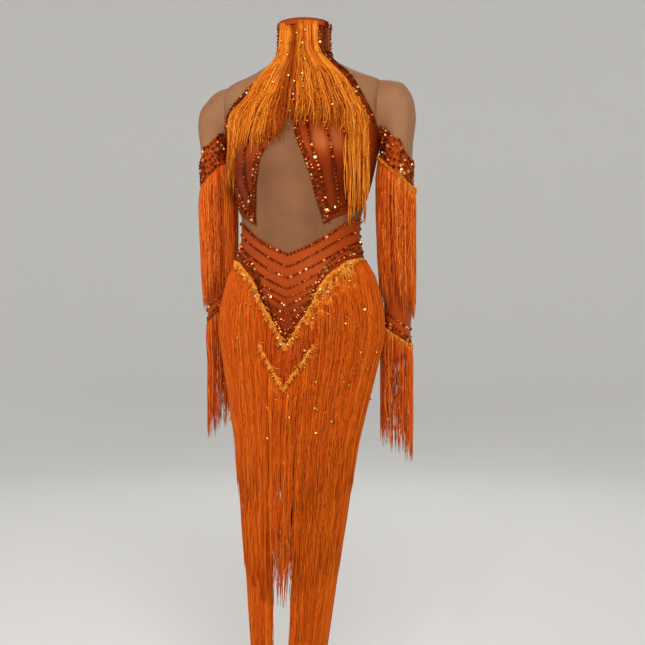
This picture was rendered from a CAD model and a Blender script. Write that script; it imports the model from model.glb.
"""A worn, hollow stage bodysuit with long fringe, dressed for rendering.

The cloth, the fringe and the crystals are built on one figure of level sections, in millimetres,
and made in metres. The wearer's left is +X, the front faces -Y, and the origin is inside the
neckline.
"""

from __future__ import annotations

import logging
import math
from dataclasses import dataclass, field
from enum import Enum
from typing import Callable, Sequence

import bmesh
import bpy
import numpy as np
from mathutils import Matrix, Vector

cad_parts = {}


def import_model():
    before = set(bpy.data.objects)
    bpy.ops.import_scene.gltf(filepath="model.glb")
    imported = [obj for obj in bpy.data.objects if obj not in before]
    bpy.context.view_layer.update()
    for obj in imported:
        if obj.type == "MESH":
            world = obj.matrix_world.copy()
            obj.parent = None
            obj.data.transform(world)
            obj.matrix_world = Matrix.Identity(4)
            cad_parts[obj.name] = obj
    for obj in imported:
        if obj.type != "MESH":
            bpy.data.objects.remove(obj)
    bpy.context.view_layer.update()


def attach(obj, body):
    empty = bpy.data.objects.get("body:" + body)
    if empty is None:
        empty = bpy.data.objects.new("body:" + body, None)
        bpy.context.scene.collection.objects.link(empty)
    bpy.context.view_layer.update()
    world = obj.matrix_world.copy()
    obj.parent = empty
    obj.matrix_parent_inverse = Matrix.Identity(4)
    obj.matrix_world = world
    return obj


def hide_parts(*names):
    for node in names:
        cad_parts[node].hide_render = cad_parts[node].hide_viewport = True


LOG = logging.getLogger("bodysuit")
MM = 0.001
Surface = Callable[[np.ndarray, np.ndarray], np.ndarray]  # points in mm, by two numbers
Edge = Callable[[np.ndarray], np.ndarray]  # a height, a lift or a share, by the turn
Hem = Callable[[np.ndarray, np.ndarray], np.ndarray]  # a height, by the turn and a random share
Laid = tuple[np.ndarray, ...]  # the strands' paths, ways out, widths and shades
Colour = tuple[float, float, float]
Spot = tuple[float, float]
Place = tuple[float, float, float]
Piece = bpy.types.Object


class Table:
    """Rows of numbers under named columns, looked up by the first one."""

    def __init__(self, names: str, *rows: tuple[float, ...], corners: bool = False) -> None:
        """Keeps the rows in rising order of their key.

        Args:
            names: The names of the columns after the key, parted by spaces.
            rows: The key and then the columns.
            corners: True where the values run in straight lines between the rows.
        """
        ordered = sorted(rows)
        self.keys = np.array([r[0] for r in ordered], float)
        self.columns = {
            name: np.array([r[i] for r in ordered], float) for i, name in enumerate(names.split(), 1)
        }
        self.corners = corners

    def read(self, name: str, at: np.ndarray | float) -> np.ndarray:
        """Reads a column at any keys.

        Args:
            name: The column.
            at: One key or an array of them.

        Returns:
            The column's value at each key.
        """
        keys, v = self.keys, self.columns[name]
        at = np.clip(np.asarray(at, float), keys[0], keys[-1])
        if self.corners:
            return np.interp(at, keys, v)
        last = len(keys) - 1
        i = np.clip(np.searchsorted(keys, at, side="left") - 1, 0, last - 1)
        low = np.maximum(np.arange(last + 1) - 1, 0)
        high = np.minimum(np.arange(last + 1) + 1, last)
        slope = (v[high] - v[low]) / (keys[high] - keys[low])
        span = keys[i + 1] - keys[i]
        t = (at - keys[i]) / span
        start = v[i] * (1 + 2 * t) * (1 - t) ** 2 + slope[i] * span * t * (1 - t) ** 2
        return start + v[i + 1] * t * t * (3 - 2 * t) + slope[i + 1] * span * t * t * (t - 1)


def mix(a: np.ndarray | float, b: np.ndarray | float, t: np.ndarray | float) -> np.ndarray:
    """Returns the value a share t of the way from a to b."""
    return a + (b - a) * t


def unit(v: np.ndarray) -> np.ndarray:
    """Returns vectors of length one."""
    return v / np.maximum(np.linalg.norm(v, axis=-1, keepdims=True), 1e-9)


# ---------------------------------------------------------------- the figure

# The torso's sections by height: half its width, the side seam's y, and y at the front and back.
BODY = Table(
    "half side front back",
    (76, 51, 27, -25, 79), (20, 52, 27, -26, 80), (4, 57, 27, -29, 83), (-10, 74, 28, -33, 88),
    (-20, 92, 29, -37, 92), (-30, 112, 30, -42, 96), (-38, 132, 30, -46, 99), (-48, 156, 30, -50, 103),
    (-100, 156, 30, -68, 112), (-168, 156, 30, -86, 113), (-195, 151, 24, -90, 110),
    (-262, 138, 12, -92, 100), (-310, 124, 2, -91, 88), (-350, 118, -3, -90, 80),
    (-394, 124, -3, -92, 82), (-440, 138, 0, -99, 92), (-505, 152, 2, -104, 104),
    (-560, 154, 3, -103, 104), (-620, 151, 3, -98, 92), (-672, 146, 0, -88, 70),
)
COLLAR_TOP = 73.0
NET_FOOT = (-400, -388)  # at the centre, and at the sides
HIP = -560  # below it the fringe skirt hangs free
CROTCH = -672.0
GUSSET_ENDS = (-88, 70)
SEAM = 0.4  # how far, in mm, the brief's panels and its gusset end short of theirs
SEAM_TURN = 0.15  # how many degrees a panel ends short of its seam
# The height of the armhole's middle, half its height and half its depth.
ARMHOLE_MIDDLE, ARMHOLE_RISE, ARMHOLE_DEPTH = -108, 60, 46
SHOULDER_FLAT = 0.6  # how much flatter the torso runs out towards the armhole
ARMPIT = (156, 30, -172)
CAP_ROOT = 6  # how far the shoulder cap's inner edge stands from the armpit

# The fringe skirt by height: width and depth as shares of the hips', and how far back and sideways.
HANG = Table(
    "width depth shift lean",
    (HIP, 1, 1, 0, 0), (-760, 0.727, 0.9, -10, -6.5), (-1240, 0.39, 0.55, -41, -17), corners=True,
)
# The shoulder cap by its turn about the armpit in degrees: how far out, and half its depth.
CAP_OUTLINE = Table(
    "out depth",
    (0, 124, 46), (12, 125, 45), (22, 127, 44), (32, 115, 43), (45, 96, 42), (60, 80, 41),
    (75, 69, 40), (90, 64, 40),
)
# The arm by height: its middle, and half its width and depth.
ARM = Table(
    "x y half depth",
    (-172, 191, 30, 29, 40), (-260, 187, 32, 28.5, 37), (-370, 186.5, 38, 27, 32),
    (-480, 187.5, 48, 24.5, 28), (-600, 184, 57, 21.5, 25),
)
# The sleeve's top by the turn round the arm: turns about the armpit, and mm below it.
SLEEVE_TOP = Table(
    "turns down",
    (0, 0.06, 0), (48, 0.06, 0), (60, 0.52, 0), (88, 0.95, 0), (120, 1, 18), (180, 1, 50), corners=True,
)
# By height, on each side: the halter's outer edge, and the edge of the keyhole in its middle.
HALTER_EDGE = {
    1: Table("x", (76, 49), (20, 50), (4, 56), (-21, 80), (-48, 110), (-90, 135), (-121, 150), (-146, 155.4)),
    -1: Table("x", (76, 49), (20, 50), (-2, 51), (-20, 58), (-39, 70), (-73, 104), (-105, 138), (-121, 149),
              (-146, 155.4)),
}
KEYHOLE = {
    1: Table("x", (-126, 0.4), (-142, 4), (-171, 13), (-211, 31), (-249, 43), (-282, 49), (-318, 59),
             (-344, 66), corners=True),
    -1: Table("x", (-126, 0.4), (-161, 25), (-195, 42), (-214, 53), (-245, 61), (-265, 66), (-324, 71),
              (-344, 69), corners=True),
}
# By the share of the half width, on the front (True) and the back: heights of the yoke's edges, of
# the leg openings and of the second row of fringe.
YOKE_TOP = {
    True: Table("z", (0, -397), (0.33, -380), (0.6, -361), (0.85, -336), (1, -326), corners=True),
    False: Table("z", (0, -340), (1, -325), corners=True),
}
YOKE_FOOT = {
    True: Table("z", (0, -572), (0.335, -486), (0.43, -457), (0.54, -436), (0.79, -409), (1, -400),
                corners=True),
    False: Table("z", (0, -470), (0.5, -428), (1, -401), corners=True),
}
LEG_EDGE = {
    True: Table("z", (0.2, -672), (0.35, -618), (0.6, -553), (0.85, -504), (1, -488), corners=True),
    False: Table("z", (0.2, -672), (0.4, -650), (0.7, -603), (0.9, -537), (1, -488), corners=True),
}
SECOND_ROW = {
    True: Table("z", (0, -658), (0.24, -602), (0.55, -518), (0.8, -474), (1, -455), corners=True),
    False: Table("z", (0, -580), (0.5, -510), (1, -455), corners=True),
}
BIB_EDGE = Table("x", (68, 41), (12, 43), (-14, 54), (-36, 72), (-62, 90), (-90, 100), (-118, 107),
                 (-200, 111))
CUFF = {1: (-545.0, -585.0), -1: (-505.0, -548.0)}  # each cuff's height at its inner and outer side
# How far off the figure a panel over the net, a sleeve, the skirt and the collar's tape are.
ON_MESH, ON_CAP, ON_BRIEF, ON_HALTER = 1.6, 2.9, 2.6, 4.2
# How far to look along each of a surface's two numbers for its normal.
TORSO_STEPS, ARM_STEPS = (0.02, 2.0), (0.03, 0.004)
TAPE_RISE, TAPE_WALL = 9, 2.0
KEYHOLE_TOP, HALTER_FOOT = -126, -146  # the halter meets the side seam at its foot
SIDES = {"left": 1, "right": -1}
COPY_PITCH = 4.0  # between the copies of a small shape, which are then moved to their places
UV_ACROSS, UV_ROUND = 1.2, 3.1  # a cloth's length along its first number, by the size of its box


def at_edge(edge: dict[bool, Table], theta: np.ndarray) -> np.ndarray:
    """Returns the height of an edge that is drawn apart on the front and on the back."""
    share = np.abs(np.sin(theta))
    return np.where(np.cos(theta) >= 0, edge[True].read("z", share), edge[False].read("z", share))


def net_foot(theta: np.ndarray) -> np.ndarray:
    """Returns the height at which the net ends and the brief starts."""
    return mix(*NET_FOOT, np.abs(np.sin(theta)))


@dataclass(frozen=True)
class Mounds:
    """A pair of soft mounds on the front or on the back of the torso, in mm."""

    centre: Spot
    reach: Spot
    rise: float
    front: bool

    def stand(self, x: np.ndarray, z: np.ndarray, theta: np.ndarray) -> np.ndarray:
        """Works out how far the mounds stand out.

        Args:
            x: Distances from the centre plane.
            z: Heights.
            theta: Turns from the centre front.

        Returns:
            The distance at each place.
        """
        up = ((z - self.centre[1]) / self.reach[1]) ** 2
        near = sum(np.exp(-(((x - s * self.centre[0]) / self.reach[0]) ** 2) - up) for s in (1, -1))
        faces = (np.cos(theta) >= 0) == self.front
        return self.rise * near * np.minimum(1, np.abs(np.cos(theta)) * 3) * faces


BUST = Mounds((76, -196), (48, 54), 27, front=True)
SEAT = Mounds((66, -545), (62, 70), 17, front=False)


def skin(theta: np.ndarray, z: np.ndarray) -> np.ndarray:
    """Finds points of the torso's cloth.

    Args:
        theta: Turns from the centre front.
        z: Heights.

    Returns:
        The points.
    """
    theta, z = np.broadcast_arrays(np.asarray(theta, float), np.asarray(z, float))
    k = (z - ARMHOLE_MIDDLE) / ARMHOLE_RISE
    gap = ARMHOLE_DEPTH * np.sqrt(np.clip(1 - k * k, 0, 1))
    facing = np.cos(theta)
    x = BODY.read("half", z) * np.sin(theta)
    edge = BODY.read("side", z) - np.sign(facing) * gap
    far = np.where(facing >= 0, BODY.read("front", z), BODY.read("back", z))
    y = mix(edge, far, np.abs(facing) ** (1 + gap / ARMHOLE_DEPTH * SHOULDER_FLAT))
    return np.stack([x, y - BUST.stand(x, z, theta) + SEAT.stand(x, z, theta), z], -1)


def hang(theta: np.ndarray, z: np.ndarray) -> np.ndarray:
    """Finds points of the fringe skirt, which leaves the hips and draws in towards its hem.

    Args:
        theta: Turns from the centre front.
        z: Heights.

    Returns:
        The points.
    """
    theta, z = np.broadcast_arrays(np.asarray(theta, float), np.asarray(z, float))
    hip = skin(theta, np.maximum(z, HIP))
    x = hip[..., 0] * HANG.read("width", z) + HANG.read("lean", z)
    y = hip[..., 1] * HANG.read("depth", z) + HANG.read("shift", z)
    return np.stack([x, y, z], -1)


def cap_reach(around: np.ndarray, along: np.ndarray) -> np.ndarray:
    """Returns how far the shoulder cap stands from the armpit."""
    turn = np.clip(90 * along, 0, 90)
    return mix(CAP_ROOT, CAP_OUTLINE.read("out", turn), (1 - np.cos(around)) / 2)


def arm(around: np.ndarray, along: np.ndarray) -> np.ndarray:
    """Finds points of the wearer's left arm.

    Args:
        around: The turn from the armpit's side, a quarter turn at the back.
        along: 0 to 1 turns about the armpit, and past 1 it is metres below the armpit.

    Returns:
        The points.
    """
    around, along = np.broadcast_arrays(np.asarray(around, float), np.asarray(along, float))
    x, y, top = ARMPIT
    turn = np.clip(90 * along, 0, 90)
    bend, reach = np.radians(turn), cap_reach(around, along)
    z = top - (along - 1) * 1000
    cap = (
        x + reach * np.sin(bend) + 0.1 * (1 - along),
        y + CAP_OUTLINE.read("depth", turn) * np.sin(around),
        top + reach * np.cos(bend),
    )
    tube = (
        ARM.read("x", z) - ARM.read("half", z) * np.cos(around),
        ARM.read("y", z) + ARM.read("depth", z) * np.sin(around),
        z,
    )
    return np.stack([np.where(along <= 1, c, t) for c, t in zip(cap, tube)], -1)


def along_arm(z: np.ndarray) -> np.ndarray:
    """Returns how far along the arm a height below the armpit is."""
    return 1 + (ARMPIT[2] - z) / 1000


def out_of_arm(around: np.ndarray) -> np.ndarray:
    """Returns the level way out of the wearer's left arm."""
    return np.stack([-np.cos(around), np.sin(around), np.zeros_like(around)], -1)


def theta_of(x: np.ndarray, z: np.ndarray) -> np.ndarray:
    """Returns the turn from the centre front at which the torso is x mm from its centre plane."""
    return np.arcsin(np.clip(np.asarray(x, float) / BODY.read("half", z), -1, 1))


def sleeve_start(around: np.ndarray) -> np.ndarray:
    """Returns how far along the arm the off-the-shoulder sleeve starts."""
    angle = np.degrees(np.arccos(np.cos(around)))
    return SLEEVE_TOP.read("turns", angle) + SLEEVE_TOP.read("down", angle) / 1000


def lower(around: np.ndarray, along: np.ndarray, drop: float) -> np.ndarray:
    """Goes down the arm.

    Args:
        around: The turn round the arm.
        along: How far along the arm to start.
        drop: How far to go, in mm.

    Returns:
        How far along the arm that is.
    """
    arc = cap_reach(around, along) * math.pi / 2
    moved = along + drop / arc
    past = np.where(moved <= 1, moved, 1 + (moved - 1) * arc / 1000)
    return np.where(along >= 1, along + drop / 1000, past)


def cuff_height(side: int, around: np.ndarray) -> np.ndarray:
    """Returns the height of a cuff's slanted edge."""
    inner, outer = CUFF[side]
    return mix(outer, inner, (1 + np.cos(around)) / 2)


def normal_of(surface: Surface, a: np.ndarray, b: np.ndarray, steps: Spot) -> np.ndarray:
    """Works out which way a surface faces.

    Args:
        surface: Its points by two numbers.
        a: The first number.
        b: The second, which together with the first turns outwards.
        steps: How far to look along each.

    Returns:
        Unit normals.
    """
    across = surface(a + steps[0], b) - surface(a - steps[0], b)
    up = surface(a, b + steps[1]) - surface(a, b - steps[1])
    return unit(np.cross(across, up))


def level_out(surface: Surface, a: np.ndarray, b: np.ndarray) -> np.ndarray:
    """Returns the level way out of a surface."""
    across = surface(a + 0.01, b) - surface(a - 0.01, b)
    return unit(np.stack([across[..., 1], -across[..., 0], np.zeros_like(across[..., 0])], -1))


def on_torso(theta: np.ndarray, z: np.ndarray, lift: float) -> np.ndarray:
    """Returns points of the torso, moved out."""
    return skin(theta, z) + lift * normal_of(skin, theta, z, TORSO_STEPS)


def on_arm(around: np.ndarray, along: np.ndarray, lift: float) -> np.ndarray:
    """Returns points of the wearer's left arm, moved out."""
    return arm(around, along) + lift * normal_of(arm, around, along, ARM_STEPS)


def wrinkle(a: np.ndarray, b: np.ndarray, seed: float, scale: Spot) -> np.ndarray:
    """Makes a soft relief that is the same each time, from four crossing waves.

    Args:
        a: Places one way.
        b: Places the other way.
        seed: Chooses the relief.
        scale: How long its waves are each way.

    Returns:
        Heights from -1 to 1.
    """
    total = np.zeros(np.broadcast(a, b).shape)
    for k in range(1, 5):
        turn = seed * 1.7 + k * 2.399
        wave = a / scale[0] * k * math.cos(turn) * 1.6 + b / scale[1] * math.sin(turn) + seed * k
        total = total + np.sin(wave) / k
    return total / 2.08


# ---------------------------------------------------------------- finishes


class Nodes:
    """A material's or a group's node tree, with short calls to fill it."""

    def __init__(self, tree: bpy.types.NodeTree) -> None:
        """Keeps the tree."""
        self.tree = tree

    def fill(self, node: bpy.types.Node, **inputs: object) -> None:
        """Fills a node's inputs.

        Args:
            node: The node.
            inputs: Values or output sockets, by the input's name with underscores for its spaces, or
                by i and its number.
        """
        for name, value in inputs.items():
            numbered = name[0] == "i" and name[1:].isdigit()
            socket = node.inputs[int(name[1:]) if numbered else name.replace("_", " ")]
            if isinstance(value, bpy.types.NodeSocket):
                self.tree.links.new(value, socket)
            else:
                socket.default_value = value

    def add(self, kind: str, settings: dict[str, object] | None = None, **inputs: object) -> bpy.types.Node:
        """Adds a node.

        Args:
            kind: The node's type, without its ShaderNode.
            settings: Its properties.
            inputs: What its inputs are filled with.

        Returns:
            The node.
        """
        node = self.tree.nodes.new("ShaderNode" + kind)
        for name, value in (settings or {}).items():
            setattr(node, name, value)
        self.fill(node, **inputs)
        return node

    def work(self, operation: str, *values: object) -> bpy.types.NodeSocket:
        """Returns what a Math node makes of its values."""
        node = self.add("Math", {"operation": operation}, **{f"i{k}": v for k, v in enumerate(values)})
        return node.outputs[0]

    def marks(self, name: str) -> bpy.types.NodeSocket:
        """Returns the marks that a mesh's vertices carry under a name."""
        return self.add("Attribute", {"attribute_name": name}).outputs["Fac"]

    def ramp(self, factor: bpy.types.NodeSocket,
             stops: Sequence[tuple[float, Colour]]) -> bpy.types.NodeSocket:
        """Adds a colour ramp.

        Args:
            factor: What it is read by.
            stops: Places and colours.

        Returns:
            Its colour.
        """
        node = self.add("ValToRGB", Fac=factor)
        elements = node.color_ramp.elements
        while len(elements) < len(stops):
            elements.new(0.5)
        for element, (place, colour) in zip(elements, stops):
            element.position, element.color = place, (*colour, 1)
        return node.outputs["Color"]


def new_group(name: str, inputs: dict[str, float],
              outputs: Sequence[str]) -> tuple[Nodes, bpy.types.Node]:
    """Starts a shader node group that takes and gives plain values.

    Args:
        name: The group's name.
        inputs: Each input's name and value.
        outputs: Each output's name.

    Returns:
        The group's nodes, and its input node.
    """
    group = bpy.data.node_groups.new(name, "ShaderNodeTree")
    for label, value in inputs.items():
        socket = group.interface.new_socket(label, in_out="INPUT", socket_type="NodeSocketFloat")
        socket.default_value = value
    for label in outputs:
        group.interface.new_socket(label, in_out="OUTPUT", socket_type="NodeSocketFloat")
    return Nodes(group), group.nodes.new("NodeGroupInput")


def end_group(n: Nodes, **outputs: bpy.types.NodeSocket) -> bpy.types.NodeTree:
    """Joins sockets to a group's outputs, and returns the group."""
    n.fill(n.tree.nodes.new("NodeGroupOutput"), **outputs)
    return n.tree


def knit_group() -> bpy.types.NodeTree:
    """Makes the group for a fine knit, which reads the mesh's UV map and its "tone" marks.

    Returns:
        The group, which gives the knit's relief and its soft shading.
    """
    n, start = new_group("knit", {"Stitch": 900, "Depth": 0.4, "Mottle": 0.5}, ("Height", "Shade"))
    place = n.add("UVMap").outputs["UV"]
    ribs, rows = (
        n.add("TexWave", {"wave_type": "BANDS", "bands_direction": way}, Vector=place,
              Scale=start.outputs["Stitch"]).outputs["Fac"]
        for way in "XY"
    )
    soft = n.add("TexNoise", Vector=n.add("TexCoord").outputs["Object"], Scale=16.0, Detail=4.0)
    deep = n.work("MULTIPLY", n.work("MULTIPLY", ribs, rows), start.outputs["Depth"])
    high = n.work("ADD", deep, soft.outputs["Fac"])
    even = n.add("Mix", {"data_type": "FLOAT"}, Factor=start.outputs["Mottle"], i2=0.5,
                 i3=soft.outputs["Fac"])
    return end_group(n, Height=high, Shade=n.work("ADD", even.outputs[0], n.marks("tone")))


def fibre_group() -> bpy.types.NodeTree:
    """Makes the group for twisted strands, which reads the mesh's "shade" and "along" marks.

    Returns:
        The group, which gives a strand's own shade and the relief of its twist.
    """
    n, start = new_group("fibre", {"Spread": 0.75, "Twists": 420}, ("Shade", "Height"))
    long_marks = n.add("Mapping", Vector=n.add("TexCoord").outputs["Object"], Scale=(60.0, 60.0, 5.0))
    streak = n.add("TexNoise", Vector=long_marks.outputs[0], Scale=1.0, Detail=3.0)
    shade = n.add("Mix", {"data_type": "FLOAT"}, Factor=start.outputs["Spread"], i2=streak.outputs["Fac"],
                  i3=n.marks("shade"))
    turns = n.work("MULTIPLY", n.marks("along"), start.outputs["Twists"])
    wave = n.work("SINE", n.work("MULTIPLY", turns, 6.283))
    return end_group(n, Shade=shade.outputs[0], Height=wave)


def new_material(name: str) -> tuple[bpy.types.Material, Nodes, bpy.types.Node]:
    """Starts a material.

    Args:
        name: The material's name.

    Returns:
        The material, its nodes and its shader.
    """
    material = bpy.data.materials.new(name)
    material.use_nodes = True
    return material, Nodes(material.node_tree), material.node_tree.nodes["Principled BSDF"]


@dataclass(frozen=True)
class ClothFinish:
    """A knitted cloth: its colours from a beaded edge to where it is stretched thin, and its knit."""

    name: str
    edge: Colour
    dark: Colour
    light: Colour
    thin: Colour
    roughness: float
    stitch: float
    bump: float
    sheen: float = 0.0
    alpha: float = 1.0
    gloss: Colour = (1.0, 0.42, 0.16)

    def make(self, knit: bpy.types.NodeTree) -> bpy.types.Material:
        """Makes the material.

        Args:
            knit: The group that gives the relief and the shading.

        Returns:
            The material.
        """
        material, n, shader = new_material(self.name)
        knitted = n.add("Group", {"node_tree": knit}, Stitch=self.stitch)
        stops = [(0.0, self.edge), (0.32, self.dark), (0.68, self.light), (1.0, self.thin)]
        bump = n.add("Bump", Height=knitted.outputs["Height"], Strength=self.bump, Distance=0.001)
        n.fill(shader, Base_Color=n.ramp(knitted.outputs["Shade"], stops), Normal=bump.outputs[0],
               Roughness=self.roughness, Sheen_Weight=self.sheen, Sheen_Roughness=0.4,
               Specular_IOR_Level=0.3, Specular_Tint=(*self.gloss, 1), Alpha=self.alpha)
        return material


@dataclass(frozen=True)
class FringeFinish:
    """Glossy twisted fringe, whose strands differ from each other."""

    name: str
    deep: Colour
    middle: Colour
    light: Colour
    roughness: float = 0.42
    gloss: Colour = (1.0, 0.52, 0.14)

    def make(self, fibre: bpy.types.NodeTree) -> bpy.types.Material:
        """Makes the material.

        Args:
            fibre: The group that gives shade and twist.

        Returns:
            The material.
        """
        material, n, shader = new_material(self.name)
        strand = n.add("Group", {"node_tree": fibre})
        stops = [(0.12, self.deep), (0.5, self.middle), (0.9, self.light)]
        bump = n.add("Bump", Height=strand.outputs["Height"], Strength=0.35, Distance=0.0006)
        n.fill(shader, Base_Color=n.ramp(strand.outputs["Shade"], stops), Normal=bump.outputs[0],
               Roughness=self.roughness, Specular_IOR_Level=0.5, Specular_Tint=(*self.gloss, 1))
        return material


@dataclass(frozen=True)
class CrystalFinish:
    """Foil-backed faceted crystal, whose stones differ from each other."""

    name: str
    dark: Colour
    mid: Colour
    light: Colour
    roughness: float = 0.14
    gloss: Colour = (1.0, 0.75, 0.45)

    def make(self) -> bpy.types.Material:
        """Makes the material.

        Returns:
            The material.
        """
        material, n, shader = new_material(self.name)
        stops = [(0.0, self.dark), (0.45, self.dark), (0.88, self.mid), (0.97, self.light)]
        n.fill(shader, Base_Color=n.ramp(n.marks("shade"), stops), Metallic=0.85,
               Roughness=self.roughness, Specular_Tint=(*self.gloss, 1))
        return material


class Slot(Enum):
    """The record's material slots."""

    MESH = "mesh"
    LYCRA = "lycra"
    FRINGE = "fringe"


class Wardrobe:
    """Every finish of the garment, made once."""

    def __init__(self) -> None:
        """Makes the materials."""
        knit, fibre = knit_group(), fibre_group()
        self.net = ClothFinish(
            "nude net", edge=(0.16, 0.062, 0.024), dark=(0.25, 0.108, 0.046), light=(0.37, 0.178, 0.084),
            thin=(0.44, 0.23, 0.12), roughness=0.62, stitch=1400, bump=0.12, sheen=0.04, alpha=0.95,
            gloss=(1.0, 0.8, 0.65),
        ).make(knit)
        self.satin = ClothFinish(
            "rust satin", edge=(0.13, 0.012, 0.001), dark=(0.29, 0.034, 0.003), light=(0.40, 0.056, 0.006),
            thin=(0.50, 0.10, 0.02), roughness=0.40, stitch=1100, bump=0.22,
        ).make(knit)
        self.sheer = ClothFinish(
            "sheer rust", edge=(0.10, 0.009, 0.001), dark=(0.20, 0.019, 0.002), light=(0.30, 0.040, 0.005),
            thin=(0.40, 0.105, 0.032), roughness=0.42, stitch=1100, bump=0.22,
        ).make(knit)
        self.skirt, self.bib, self.sleeve, self.header = (
            FringeFinish(*colours).make(fibre) for colours in (
                ("deep orange fringe", (0.50, 0.058, 0.002), (0.62, 0.088, 0.003), (0.78, 0.175, 0.008)),
                ("amber fringe", (0.34, 0.036, 0.002), (0.80, 0.19, 0.008), (1.0, 0.44, 0.05)),
                ("rust orange fringe", (0.36, 0.030, 0.002), (0.66, 0.082, 0.005), (0.92, 0.26, 0.035)),
                ("gold header", (0.58, 0.12, 0.005), (0.90, 0.27, 0.018), (1.0, 0.50, 0.09)),
            )
        )
        self.amber, self.clear = (
            CrystalFinish(*colours).make() for colours in (
                ("amber crystal", (0.20, 0.024, 0.003), (0.46, 0.10, 0.014), (1.0, 0.62, 0.26)),
                ("gold crystal", (0.70, 0.22, 0.03), (0.95, 0.45, 0.10), (1.0, 0.90, 0.70)),
            )
        )


# ---------------------------------------------------------------- makers


def link(name: str, mesh: bpy.types.Mesh, material: bpy.types.Material) -> Piece:
    """Makes an object at the origin that rides on the root.

    Args:
        name: The piece's name.
        mesh: Its mesh.
        material: Its one finish.

    Returns:
        The piece.
    """
    mesh.materials.append(material)
    thing = bpy.data.objects.new(name, mesh)
    bpy.context.scene.collection.objects.link(thing)
    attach(thing, "root")
    return thing


def stretch(piece: Piece, node: str) -> Piece:
    """Lets a held cloth replace its solid.

    Args:
        piece: The cloth.
        node: The solid's name.

    Returns:
        The piece.
    """
    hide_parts(node)
    return piece


def slotted(pieces: list[Piece]) -> list[Piece]:
    """Gives each piece its material slot.

    Args:
        pieces: The pieces.

    Returns:
        The same pieces.
    """
    return pieces


def nearest(places: np.ndarray, locks: np.ndarray) -> np.ndarray:
    """Returns the number of the lock that each place is nearest to."""
    return np.abs(places[:, None] - locks).argmin(1)


def cloth(name: str, point: Surface, columns: int, rows: int, wall: float,
          material: bpy.types.Material, closed: bool = False) -> Piece:
    """Makes a thin wall of cloth.

    Args:
        name: The piece's name.
        point: Its middle in mm, by shares from 0 to 1 across and up; across and up turn outwards.
        columns: Faces across.
        rows: Faces up.
        wall: Its thickness in mm.
        material: Its finish.
        closed: True where the last column meets the first.

    Returns:
        The piece, with its thickness as a modifier.
    """
    bm = bmesh.new()
    bmesh.ops.create_grid(bm, x_segments=columns, y_segments=rows, size=0.5)
    bm.verts.ensure_lookup_table()
    flat = np.array([(v.co.x + 0.5, v.co.y + 0.5) for v in bm.verts])
    places = point(flat[:, 0], flat[:, 1]) * MM
    size = np.ptp(places, axis=0)
    layer = bm.loops.layers.uv.new("UVMap")
    for face in bm.faces:
        for loop in face.loops:
            u, v = flat[loop.vert.index]
            loop[layer].uv = (u * max(size[0], size[1]) * (UV_ROUND if closed else UV_ACROSS), v * size[2])
        face.smooth = True
    for vert, place in zip(bm.verts, places):
        vert.co = place
    if closed:
        bmesh.ops.remove_doubles(bm, verts=bm.verts, dist=1e-6)
    mesh = bpy.data.meshes.new(name)
    bm.to_mesh(mesh)
    bm.free()
    piece = link(name, mesh, material)
    thick = piece.modifiers.new("wall", "SOLIDIFY")
    thick.thickness, thick.offset = wall * MM, 0
    return piece


def copies(template: bmesh.types.BMesh, count: int) -> tuple[bpy.types.Mesh, np.ndarray, np.ndarray]:
    """Repeats a small shape in a line along X.

    Args:
        template: The shape, which is used up.
        count: How many.

    Returns:
        The joined mesh, the number of the copy that each vertex is in, and where the vertex is in
        the shape.
    """
    mesh = bpy.data.meshes.new("template")
    template.to_mesh(mesh)
    template.free()
    thing = bpy.data.objects.new("template", mesh)
    bpy.context.scene.collection.objects.link(thing)
    row = thing.modifiers.new("row", "ARRAY")
    row.use_relative_offset, row.use_constant_offset = False, True
    row.constant_offset_displace, row.count = (COPY_PITCH, 0, 0), count
    bpy.context.view_layer.update()
    shown = thing.evaluated_get(bpy.context.evaluated_depsgraph_get())
    joined = bpy.data.meshes.new_from_object(shown)
    bpy.data.objects.remove(thing)
    bpy.data.meshes.remove(mesh)
    place = np.empty(len(joined.vertices) * 3, np.float32)
    joined.vertices.foreach_get("co", place)
    place = place.reshape(-1, 3).astype(float)
    number = np.repeat(np.arange(count), len(place) // count)
    place[:, 0] -= number * COPY_PITCH
    return joined, number, place


def places_of(piece: Piece) -> np.ndarray:
    """Reads where a piece's vertices are.

    Args:
        piece: The piece.

    Returns:
        Rows of x, y and z in mm.
    """
    place = np.empty(len(piece.data.vertices) * 3, np.float32)
    piece.data.vertices.foreach_get("co", place)
    return (place.reshape(-1, 3) / MM).astype(float).T


def mark(mesh: bpy.types.Mesh, name: str, values: np.ndarray) -> None:
    """Keeps one number for each vertex."""
    layer = mesh.attributes.new(name, "FLOAT", "POINT")
    layer.data.foreach_set("value", values.astype(np.float32))


def placed(name: str, mesh: bpy.types.Mesh, moved: np.ndarray, marks: dict[str, np.ndarray],
           material: bpy.types.Material) -> Piece:
    """Moves a joined mesh's vertices to their places.

    Args:
        name: The piece's name.
        mesh: The mesh.
        moved: Its vertices in mm.
        marks: Numbers for each vertex, by name.
        material: Its finish.

    Returns:
        The piece.
    """
    mesh.vertices.foreach_set("co", (moved * MM).astype(np.float32).ravel())
    for label, values in marks.items():
        mark(mesh, label, values)
    mesh.name = name
    mesh.update()
    return link(name, mesh, material)


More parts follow.
